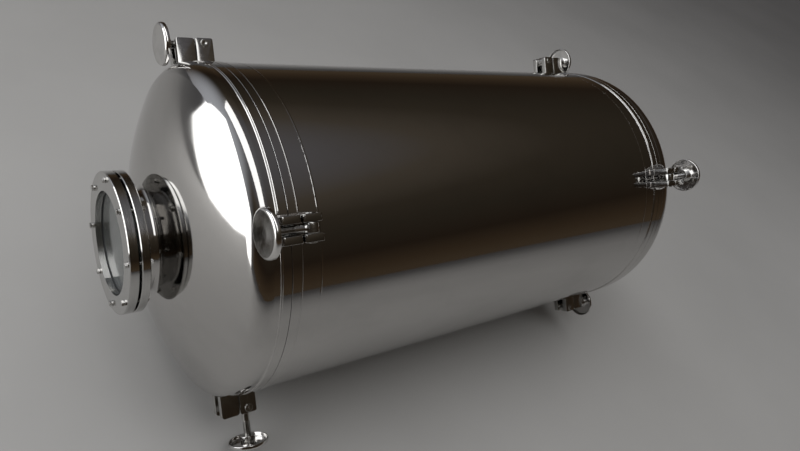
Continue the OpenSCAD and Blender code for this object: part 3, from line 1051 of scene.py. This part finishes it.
class TANK_OT_cover_bolts(bpy.types.Operator):
    """Makes the cover bolts: chamfered hexagons, washers and thread ends"""

    bl_idname = "tank.cover_bolts"
    bl_label = "Cover Bolts"

    def execute(self, context):
        size = sizes()
        bolt = self.bolt()
        colour = tint(finish().satin_colour, 1.1)
        steel = satin_metal("cover_bolt_steel", colour, (0.16, 0.28), (260, 260, 260), dents=0.04)
        twist = 0.7  # from one bolt's hexagon to the next, in radians
        for side, sign in SIDES.items():
            copies = []
            for i in range(size.cover_count):
                # The ends mirror each other, so both rings of bolts look alike from the right
                angle = size.cover_turn + 2 * math.pi * i / size.cover_count
                across = sign * size.cover_circle * math.cos(angle)
                spot = Matrix.Translation((0, across, size.cover_circle * math.sin(angle)))
                spun = spot @ Matrix.Rotation(angle + twist * i, 4, "X")
                copies.append(copy_of(bolt, "cover_bolt_copy", end_matrix(side) @ spun))
            bolts = join(copies, f"{side}_cover_hex_bolts")
            stand_in(bolts, TANK, "lug_steel", steel, f"{side}_cover_bolts")
        discard(bolt)
        return {"FINISHED"}

    def bolt(self):
        """One bolt through the cover ring and the sight flange, on the X axis"""
        size = sizes()
        cover = past_pivots("sight_cover")
        flange = past_pivots("sight_flange", 0)
        washer_front = self.washer(cover)
        head = self.hexagon(cover + size.washer_height, size.head_height, False)
        washer_back = self.washer(flange - size.washer_height)
        nut_start = flange - size.washer_height - size.nut_height
        nut = self.hexagon(nut_start, size.nut_height, True)
        end = self.thread_end(nut_start)
        shank_start, shank_end = nut_start + 4 * HAIR, cover + size.washer_height + SUNK
        shank = bar("cover_shank", shank_start, shank_end, size.cover_radius, 32)
        return shade(join([head, washer_front, washer_back, nut, end, shank], "cover_bolt"), 30)

    def thread_end(self, nut_start):
        """The threaded end that stands out of the nut, with its chamfer"""
        size = sizes()
        start = nut_start - size.end_proud
        tip, inside = start + FACED, nut_start + 8 * HAIR
        chamfer = 0.0009
        shank, crest = size.cover_radius, size.cover_radius + HAIR
        end = threaded("cover_thread", start, nut_start + SUNK, shank, size.cover_pitch, 24)
        outline = [(tip, 0), (tip, shank - chamfer), (start + chamfer, crest), (inside, crest), (inside, 0)]
        return trimmed(end, outline, 32)

    def washer(self, start):
        size = sizes()
        end = start + size.washer_height
        bore, rim = size.cover_radius + LOOSE, size.washer_radius
        back_round, face_round = 0.0003, 0.0004
        outline = [(start, bore, 0), (start, rim, back_round), (end, rim, face_round), (end, bore, 0)]
        return turned("washer", rounded(outline, 3), 48)

    def hexagon(self, start, height, both_ends):
        """A hexagon with its corners turned off at the outer end, or at both ends"""
        flat = sizes().hex_width / 2
        corner = flat / math.cos(math.pi / 6)
        face = flat * 0.97  # radius of the chamfered face
        past = corner + HAIR / 2
        fall = (corner - face) * math.tan(math.radians(30))
        end = start + height
        near = [(start, face), (start + fall, past)] if both_ends else [(start, past)]
        outline = [(start, 0), *near, (end - fall, past), (end, face), (end, 0)]
        return trimmed(bar("hexagon", start, end, corner, 6), outline, 96)


class TANK_OT_lug_welds(bpy.types.Operator):
    """Lays the beads round the foot of each lug plate"""

    bl_idname = "tank.lug_welds"
    bl_label = "Lug Welds"

    def execute(self, context):
        size = sizes()
        material = weld_metal()
        shell, ring = size.shell_radius, size.ring_radius
        ring_end = past_pivots("head_flange")
        half = size.ear_length / 2
        short, slope = 0.001, 0.002  # of the ear's end, and of the bead from a ring down to the sheet
        straight = 0.0135  # the head's straight part past its ring
        fall = 0.0006  # of the head from there to the cheek's end
        ear_run = ((half - short, ring), (slope, ring), (0, shell), (-half, shell))
        cheek_run = (
            (size.cheek_start + slope, ring),
            (ring_end - slope, ring),
            (ring_end, shell),
            (ring_end + straight, shell),
            (size.cheek_reach, shell - fall),
        )
        for side in SIDES:
            beads = [
                self.bead(run, across, lug_matrix(side, where))
                for where in PLACES
                for run in (ear_run, cheek_run)
                for across in (-1, 1)
            ]
            stand_in(join(beads, f"{side}_lug_welds"), TANK, "lug_steel", material)
        return {"FINISHED"}

    def bead(self, run, across, matrix):
        """One bead: along the outer face, round the closed end and back along the inner face"""
        size = sizes()
        near = across * size.lug_gap / 2
        far = across * (size.lug_gap / 2 + size.lug_thickness)
        corners = [(x, far, radius) for x, radius in run]
        corners += [(x, near, radius) for x, radius in reversed(run)]
        path = []
        for x, y, radius in stations(corners, 0.0013):
            path.append(matrix @ Vector((x, y, math.sqrt(radius * radius - y * y) - pivot_radius())))
        return bead_along("lug_bead", path)


class TANK_OT_saddles(bpy.types.Operator):
    """Finishes the saddles and welds their plates together"""

    bl_idname = "tank.saddles"
    bl_label = "Saddles"

    def execute(self, context):
        colour = finish().saddle_colour
        satin = satin_metal("satin_saddle_steel", colour, (0.28, 0.44), (30, 260, 260), dents=0.3)
        dress(both("saddle"), satin)
        weld = weld_metal()
        for side, sign in SIDES.items():
            beads = [bead_along(name, stations(run, 0.0016)) for name, run in self.runs(side, sign)]
            stand_in(join(beads, f"{side}_saddle_welds"), TANK, "saddle_steel", weld)
        return {"FINISHED"}

    def runs(self, side, sign):
        """Name and ends of each bead on a saddle's base: beside the web, and on both faces of each rib"""
        low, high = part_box(f"{side}_saddle")
        plate = sizes().plate_thickness
        middle = sign * (abs(low.x) + abs(high.x)) / 2
        inner_end, outer_end = plate / 2 + 0.0015, (high.x - low.x) / 2 - 0.009
        runs = []
        for face in (-1, 1):
            x = middle + face * plate / 2
            runs.append(("web_bead", ((x, low.y + plate / 2, plate), (x, high.y - plate / 2, plate))))
        for rib in (-1, 1):
            for inset in (2 * plate, plate):
                y = rib * (high.y - inset)
                for face in (-1, 1):
                    ends = [(middle + face * distance, y, plate) for distance in (inner_end, outer_end)]
                    runs.append(("rib_bead", ends))
        return runs


class TANK_OT_stage(bpy.types.Operator):
    """Sets the floor, the lamps, the surroundings and the camera"""

    bl_idname = "tank.stage"
    bl_label = "Stage"

    def execute(self, context):
        stage = context.scene.tank_stage
        self.floor(stage)
        self.lamps(stage)
        self.surroundings(stage)
        self.camera()
        context.scene.view_settings.view_transform = "Standard"
        return {"FINISHED"}

    def floor(self, stage):
        put_down()
        radius = stage.floor_radius
        bpy.ops.mesh.primitive_circle_add(vertices=96, radius=radius, fill_type="NGON", location=(0, 0, 0))
        ground = bpy.context.object
        ground.name = "studio_floor"
        recipe = Recipe("pale_floor")
        base = recipe.shades(recipe.patches(1.2, 4, 0.3, 0.7), stage.floor_colour, 0.95, 1.04)
        ground.data.materials.append(recipe.done(Base_Color=base, Roughness=0.75))

    def panel(self, name, spot, aim, width, height, radiance, slope=0.0):
        """A flat lamp that faces its aim, turned about the line to it by the slope"""
        put_down()
        bpy.ops.object.light_add(type="AREA", location=spot)
        lamp = bpy.context.object
        lamp.name = name
        aimed = (Vector(aim) - Vector(spot)).to_track_quat("-Z", "Y")
        lamp.rotation_euler = (aimed @ Quaternion((0, 0, 1), slope)).to_euler()
        lamp.data.shape = "RECTANGLE"
        lamp.data.size = width
        lamp.data.size_y = height
        lamp.data.energy = radiance * math.pi * width * height
        lamp.visible_camera = False
        return lamp

    def lamps(self, stage):
        """A key panel to the left and rear, a panel over the left end and a soft fill without reflections"""
        away = Vector((math.cos(KEY_AZIMUTH), math.sin(KEY_AZIMUTH), 0))
        aside = Vector((-away.y, away.x, 0))
        aim = Vector((KEY_AIM, 0, stage.key_height / 2 - stage.key_sink)) + stage.key_shift * aside
        spot = aim + stage.key_distance * away
        key = (stage.key_width, stage.key_height, stage.key_radiance, -stage.key_lean)
        self.panel("key_panel", spot, aim, *key)
        overhead = (stage.overhead_width, stage.overhead_depth, stage.overhead_radiance, OVERHEAD_TURN)
        self.panel("overhead_panel", (*OVERHEAD_SPOT, stage.overhead_height), (*OVERHEAD_SPOT, 0), *overhead)
        soft = (FILL_SIZE, FILL_SIZE, stage.fill_radiance)
        fill = self.panel("fill_panel", (*FILL_SPOT, FILL_HEIGHT), (*FILL_SPOT, 0), *soft)
        fill.visible_glossy = False

    def surroundings(self, stage):
        """A plain dim room: warm and dark at the sides, lighter overhead and towards the key panel"""
        world = bpy.data.worlds.new("plain_room")
        bpy.context.scene.world = world
        room = Wiring(world)
        direction = room.node("ShaderNodeTexCoord").outputs["Generated"]
        height = room.node("ShaderNodeSeparateXYZ", {"Vector": direction}).outputs["Z"]
        tones = room.node("ShaderNodeValToRGB", {"Fac": height})
        for position, _ in ROOM_TONES[1:-1]:
            tones.color_ramp.elements.new(position)
        for element, (_, colour) in zip(tones.color_ramp.elements, ROOM_TONES):
            element.color = (*colour, 1)
        both_ways = {0: direction, 1: GLOW_DIRECTION}
        towards = room.node("ShaderNodeVectorMath", both_ways, operation="DOT_PRODUCT").outputs["Value"]
        glow = room.spread(towards, GLOW_START, 1, interpolation_type="SMOOTHSTEP")
        light = room.blend(glow, tones.outputs["Color"], GLOW_TONE)
        background = {"Color": light, "Strength": stage.surround_strength}
        surface = room.node("ShaderNodeBackground", background).outputs["Background"]
        room.node("ShaderNodeOutputWorld", {"Surface": surface})

    def camera(self):
        """The photograph's own point of view"""
        put_down()
        bpy.ops.object.camera_add(location=(0, 0, 0))
        camera = bpy.context.object
        camera.name = "photo_camera"
        facing = Matrix((EYE_RIGHT, -EYE_DOWN, -EYE_AHEAD)).transposed().to_4x4()
        camera.matrix_world = Matrix.Translation(EYE) @ facing
        camera.data.sensor_width = SENSOR_MILLIMETRES
        camera.data.sensor_fit = "HORIZONTAL"
        camera.data.lens = FOCAL_PIXELS / PICTURE_PIXELS * SENSOR_MILLIMETRES
        camera.data.clip_start = 0.05
        camera.data.clip_end = 60
        bpy.context.scene.camera = camera


STEPS = (
    TANK_OT_sheet,
    TANK_OT_sights,
    TANK_OT_girth_welds,
    TANK_OT_lugs,
    TANK_OT_pins,
    TANK_OT_swing_bolts,
    TANK_OT_wheel_nuts,
    TANK_OT_cover_bolts,
    TANK_OT_lug_welds,
    TANK_OT_saddles,
    TANK_OT_stage,
)


class TANK_PT_panel(bpy.types.Panel):
    """Lists the steps that build the tank's looks"""

    bl_label = "Pressure Tank"
    bl_idname = "TANK_PT_panel"
    bl_space_type = "VIEW_3D"
    bl_region_type = "UI"
    bl_category = "Tank"

    def draw(self, context):
        column = self.layout.column(align=True)
        for step in STEPS:
            column.operator(step.bl_idname)


CLASSES = (TankSizes, TankFinish, TankStage, *STEPS, TANK_PT_panel)


def register():
    for cls in CLASSES:
        bpy.utils.register_class(cls)
    bpy.types.Scene.tank_sizes = PointerProperty(type=TankSizes)
    bpy.types.Scene.tank_finish = PointerProperty(type=TankFinish)
    bpy.types.Scene.tank_stage = PointerProperty(type=TankStage)


def unregister():
    del bpy.types.Scene.tank_stage
    del bpy.types.Scene.tank_finish
    del bpy.types.Scene.tank_sizes
    for cls in reversed(CLASSES):
        bpy.utils.unregister_class(cls)


def main():
    register()
    bpy.ops.tank.sheet()
    bpy.ops.tank.sights()
    bpy.ops.tank.girth_welds()
    bpy.ops.tank.lugs()
    bpy.ops.tank.pins()
    bpy.ops.tank.swing_bolts()
    bpy.ops.tank.wheel_nuts()
    bpy.ops.tank.cover_bolts()
    bpy.ops.tank.lug_welds()
    bpy.ops.tank.saddles()
    bpy.ops.tank.stage()


if __name__ == "__main__":
    main()
